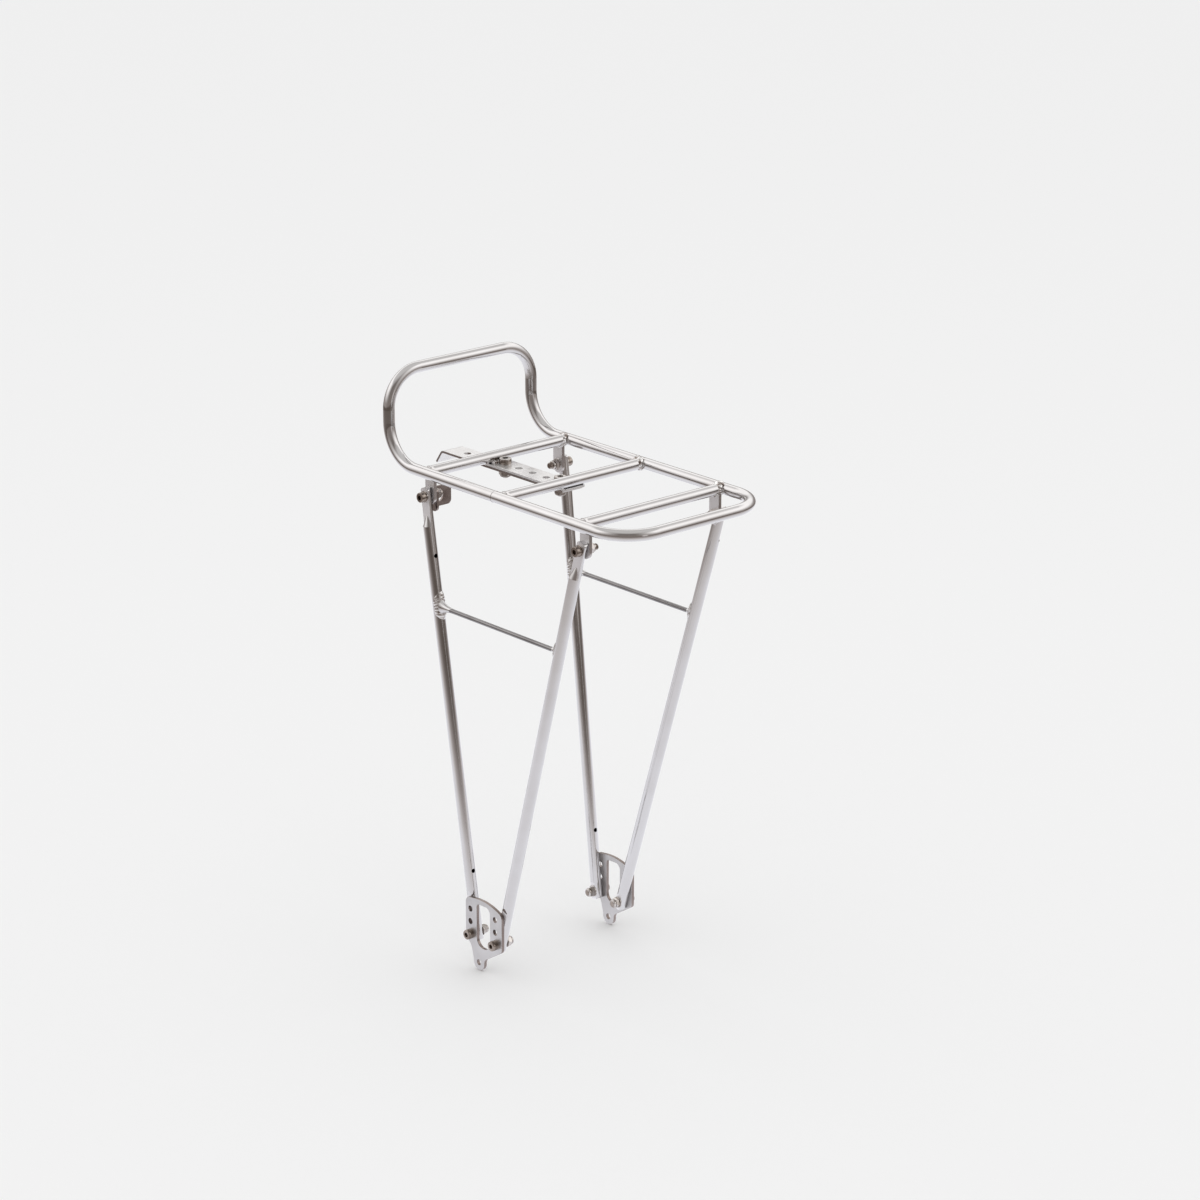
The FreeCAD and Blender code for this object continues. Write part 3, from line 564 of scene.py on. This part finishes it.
def fastener_detail():
    """Knurled heads, and threads where a screw's end stands clear of its nut."""
    for name, places in SCREW_PLACES.items():
        heads, ends = bmesh.new(), bmesh.new()
        for x_side, y_side in places:
            out, radius, head_top, tip = screw_line(name, x_side, y_side)
            height = radius / M5_HEAD_R_TO_HEIGHT if y_side else radius
            knurl(heads, head_top - out * height * KNURL_BASE, out, radius, height * KNURL_LENGTH)
            if name == "leg_top_screws":
                bare = BARE_END_AT_BRACKET if (x_side, y_side) == LAMP_BRACKET_CORNER else BARE_END
                thread(ends, tip, out, radius / M5_HEAD_R_TO_SHANK_R, bare, M5_PITCH)
        finish_piece(object_from(name + "_knurling", heads), "fastener_steel")
        if ends.verts:
            finish_piece(object_from(name + "_threads", ends), "fastener_steel")
        else:
            ends.free()


def add_detail():
    for side in SIDES:
        rail_seam(side)
        for name in ("front", "middle", "rear"):
            crossbar_weld(name, side)
        for end in ("front", "rear"):
            tab_weld(side, end)
            rod_weld(side, end)
    fastener_detail()


# ---- camera ----------------------------------------------------------------------
CAMERA_AZIMUTH = 48.41        # degrees, from -Y towards +X
CAMERA_ELEVATION = 18.64
CAMERA_ROLL = 0.14
CAMERA_DISTANCE = 3.055
CAMERA_LENS = 108.91          # mm
SENSOR_WIDTH = 36.0           # mm
AIM_OFFSET = Vector((28.6, 10.2, 75.3)) * MM      # from the middle of the CAD box


def make_camera():
    azimuth, elevation = math.radians(CAMERA_AZIMUTH), math.radians(CAMERA_ELEVATION)
    back = Vector((math.sin(azimuth) * math.cos(elevation),
                   -math.cos(azimuth) * math.cos(elevation), math.sin(elevation)))
    data = bpy.data.cameras.new("camera")
    data.lens = CAMERA_LENS
    data.sensor_width = SENSOR_WIDTH
    camera = bpy.data.objects.new("camera", data)
    camera.location = CENTRE + AIM_OFFSET + back * CAMERA_DISTANCE
    camera.rotation_mode = "QUATERNION"
    roll = Matrix.Rotation(math.radians(CAMERA_ROLL), 4, "Z").to_quaternion()
    camera.rotation_quaternion = (-back).to_track_quat("-Z", "Y") @ roll
    bpy.context.scene.collection.objects.link(camera)
    bpy.context.scene.camera = camera


# ---- studio ----------------------------------------------------------------------
FLOOR_GAP = 0.5 * MM          # between the floor and the lowest point of the rack
FLOOR_RADIUS = 20.0
FLOOR_Z = cad_low.z - FLOOR_GAP
DISC_SIDES = 128
BACKGROUND = 0.878            # linear grey of the floor and of the page behind the rack
GLOW_RADIUS = 3.3
GLOW_BACK = 0.5               # the pool of light is centred this far behind the rack
EVEN_LIGHT = 0.985            # light from all round on the floor and other matt surfaces
SOFTBOX_LENGTH, SOFTBOX_WIDTH = 2.4, 2.0
SOFTBOX_Z = 2.6
SOFTBOX_POWER = 3.0           # watts

# Brightness of the pool of light, by distance from its middle in glow radii.
POOL = [
    (0.15, (1.07, 1.08, 1.14)),
    (0.25, (0.95, 0.94, 0.98)),
    (0.31, (0.75, 0.72, 0.72)),
    (0.38, (0.53, 0.49, 0.48)),
    (0.46, (0.37, 0.33, 0.315)),
    (0.57, (0.21, 0.18, 0.165)),
    (0.80, (0.14, 0.115, 0.10)),
]
# Brightness of the room that the steel reflects, by the height of the direction (its Z).
# The front is the camera's side of the rack.
ROOM_LOW, ROOM_HIGH = -0.5, 1.0
ROOM_FRONT = [
    (-0.50, (0.14, 0.115, 0.10)),
    (-0.16, (0.14, 0.115, 0.10)),
    (-0.08, (0.30, 0.26, 0.24)),
    (0.25, (0.28, 0.25, 0.235)),
    (0.62, (0.24, 0.215, 0.20)),
    (0.84, (0.62, 0.60, 0.59)),
    (0.90, (0.76, 0.75, 0.74)),
]
ROOM_SIDE = [
    (-0.50, (0.36, 0.31, 0.29)),
    (0.00, (0.46, 0.42, 0.40)),
    (0.15, (0.84, 0.81, 0.80)),
    (0.29, (1.20, 1.18, 1.17)),
    (0.41, (1.42, 1.40, 1.39)),
    (0.55, (1.54, 1.52, 1.51)),
    (0.69, (1.38, 1.36, 1.36)),
    (0.77, (0.80, 0.79, 0.78)),
]
ROOM_BACK = [
    (-0.50, (0.36, 0.33, 0.32)),
    (0.14, (0.36, 0.33, 0.32)),
    (0.24, (0.90, 0.88, 0.87)),
    (0.34, (1.36, 1.35, 1.34)),
    (0.62, (1.42, 1.41, 1.40)),
    (0.72, (0.76, 0.75, 0.74)),
]
# Where one wall gives way to the next, as the cosine of the angle from the camera's side.
SIDE_TO_FRONT = (0.25, 0.95)
SIDE_TO_BACK = (-0.60, -0.90)
# A narrow lit strip low in the room, to the right of the camera.
STRIP_TURN = 41               # degrees from the camera
STRIP_EDGE = (0.990, 0.998)   # cosine at its dark edge and where it is full
STRIP_TOP = (0.05, 0.20)      # height where it begins to fade, and where it is gone
STRIP_COLOUR = (0.82, 0.78, 0.77)


def disc_object(name, radius, z):
    mesh = bpy.data.meshes.new(name)
    bm = bmesh.new()
    bmesh.ops.create_circle(bm, cap_ends=True, segments=DISC_SIDES, radius=radius)
    bmesh.ops.translate(bm, verts=bm.verts, vec=(0, 0, z))
    bm.to_mesh(mesh)
    bm.free()
    obj = bpy.data.objects.new(name, mesh)
    bpy.context.scene.collection.objects.link(obj)
    return obj


def only_in_reflections(obj):
    obj.visible_camera = False
    obj.visible_diffuse = False
    obj.visible_shadow = False
    obj.visible_transmission = False


def floor_glow():
    """The lit floor as the steel sees it: bright behind the rack, fading to a dark room."""
    mat, tree, bsdf = new_material("floor_reflection")
    bsdf.inputs["Base Color"].default_value = (0, 0, 0, 1)
    bsdf.inputs["Specular IOR Level"].default_value = 0.0
    bsdf.inputs["Emission Strength"].default_value = 1.0
    place = tree.nodes.new("ShaderNodeTexCoord")
    from_middle = tree.nodes.new("ShaderNodeVectorMath")
    from_middle.operation = "DISTANCE"
    tree.links.new(place.outputs["Object"], from_middle.inputs[0])
    angle = math.radians(CAMERA_AZIMUTH)
    from_middle.inputs[1].default_value = (-GLOW_BACK * math.sin(angle),
                                           GLOW_BACK * math.cos(angle), FLOOR_Z)
    colour = ramp(tree, math_node(tree, "DIVIDE", from_middle.outputs["Value"], GLOW_RADIUS), POOL)
    tree.links.new(colour, bsdf.inputs["Emission Color"])
    return mat


def make_floor():
    floor = disc_object("floor", FLOOR_RADIUS, FLOOR_Z)
    mat, _, bsdf = new_material("pale_floor")
    bsdf.inputs["Base Color"].default_value = (BACKGROUND, BACKGROUND, BACKGROUND, 1)
    bsdf.inputs["Roughness"].default_value = 0.9
    bsdf.inputs["Specular IOR Level"].default_value = 0.0
    floor.data.materials.append(mat)
    floor.visible_glossy = False

    glow_disc = disc_object("floor_reflection", GLOW_RADIUS, FLOOR_Z)
    glow_disc.data.materials.append(floor_glow())
    only_in_reflections(glow_disc)


def flat_heading(tree, direction):
    """Direction with its height taken out, one unit long, and that height."""
    split = tree.nodes.new("ShaderNodeSeparateXYZ")
    tree.links.new(direction, split.inputs[0])
    join = tree.nodes.new("ShaderNodeCombineXYZ")
    tree.links.new(split.outputs["X"], join.inputs["X"])
    tree.links.new(split.outputs["Y"], join.inputs["Y"])
    unit = tree.nodes.new("ShaderNodeVectorMath")
    unit.operation = "NORMALIZE"
    tree.links.new(join.outputs[0], unit.inputs[0])
    return unit.outputs[0], split.outputs["Z"]


def towards(tree, heading, azimuth):
    """Cosine between a heading and a compass direction round the rack."""
    dot = tree.nodes.new("ShaderNodeVectorMath")
    dot.operation = "DOT_PRODUCT"
    tree.links.new(heading, dot.inputs[0])
    angle = math.radians(azimuth)
    dot.inputs[1].default_value = (math.sin(angle), -math.cos(angle), 0)
    return dot.outputs["Value"]


def wall(tree, height, stops):
    """One wall of the room with the ceiling over it, from (height, colour) stops."""
    factor = remap(tree, height, ROOM_LOW, ROOM_HIGH, 0.0, 1.0)
    span = ROOM_HIGH - ROOM_LOW
    return ramp(tree, factor, [((z - ROOM_LOW) / span, colour) for z, colour in stops])


def studio_room(tree):
    """Room that the steel reflects: dark near the floor and on the camera's side, bright above."""
    place = tree.nodes.new("ShaderNodeTexCoord")
    heading, height = flat_heading(tree, place.outputs["Generated"])
    front, side, back = (wall(tree, height, stops) for stops in (ROOM_FRONT, ROOM_SIDE, ROOM_BACK))
    ahead = towards(tree, heading, CAMERA_AZIMUTH)
    room = mix_colour(tree, remap(tree, ahead, *SIDE_TO_FRONT, 1.0, 0.0), front, side)
    room = mix_colour(tree, remap(tree, ahead, *SIDE_TO_BACK, 0.0, 1.0), room, back)
    strip = towards(tree, heading, CAMERA_AZIMUTH + STRIP_TURN)
    low = remap(tree, height, *STRIP_TOP, 1.0, 0.0)
    lit = math_node(tree, "MULTIPLY", remap(tree, strip, *STRIP_EDGE, 0.0, 1.0), low)
    return mix_colour(tree, lit, room, STRIP_COLOUR)


def make_world():
    """Pale page for the camera, even light for the floor, a studio room in reflections."""
    world = bpy.data.worlds.new("studio")
    bpy.context.scene.world = world
    world.use_nodes = True
    tree = world.node_tree
    tree.nodes.clear()
    out = tree.nodes.new("ShaderNodeOutputWorld")
    path = tree.nodes.new("ShaderNodeLightPath")
    reflected = tree.nodes.new("ShaderNodeBackground")
    tree.links.new(studio_room(tree), reflected.inputs["Color"])
    page = node(tree, "ShaderNodeBackground", Color=(BACKGROUND, BACKGROUND, BACKGROUND, 1))
    even = node(tree, "ShaderNodeBackground", Color=(1, 1, 1, 1), Strength=EVEN_LIGHT)
    seen_or_even = tree.nodes.new("ShaderNodeMixShader")
    tree.links.new(path.outputs["Is Camera Ray"], seen_or_even.inputs[0])
    tree.links.new(even.outputs[0], seen_or_even.inputs[1])
    tree.links.new(page.outputs[0], seen_or_even.inputs[2])
    final = tree.nodes.new("ShaderNodeMixShader")
    tree.links.new(path.outputs["Is Glossy Ray"], final.inputs[0])
    tree.links.new(seen_or_even.outputs[0], final.inputs[1])
    tree.links.new(reflected.outputs[0], final.inputs[2])
    tree.links.new(final.outputs[0], out.inputs[0])


def make_lights():
    light = bpy.data.lights.new("overhead_softbox", "AREA")
    light.shape = "RECTANGLE"
    light.size, light.size_y = SOFTBOX_LENGTH, SOFTBOX_WIDTH
    light.energy = SOFTBOX_POWER
    lamp = bpy.data.objects.new("overhead_softbox", light)
    lamp.location = (CENTRE.x, CENTRE.y, SOFTBOX_Z)
    lamp.visible_camera = False
    lamp.visible_glossy = False
    bpy.context.scene.collection.objects.link(lamp)


# ---- build -----------------------------------------------------------------------
bpy.context.scene.view_settings.view_transform = "Standard"
dress_cad_nodes()
add_detail()
make_floor()
make_world()
make_lights()
make_camera()
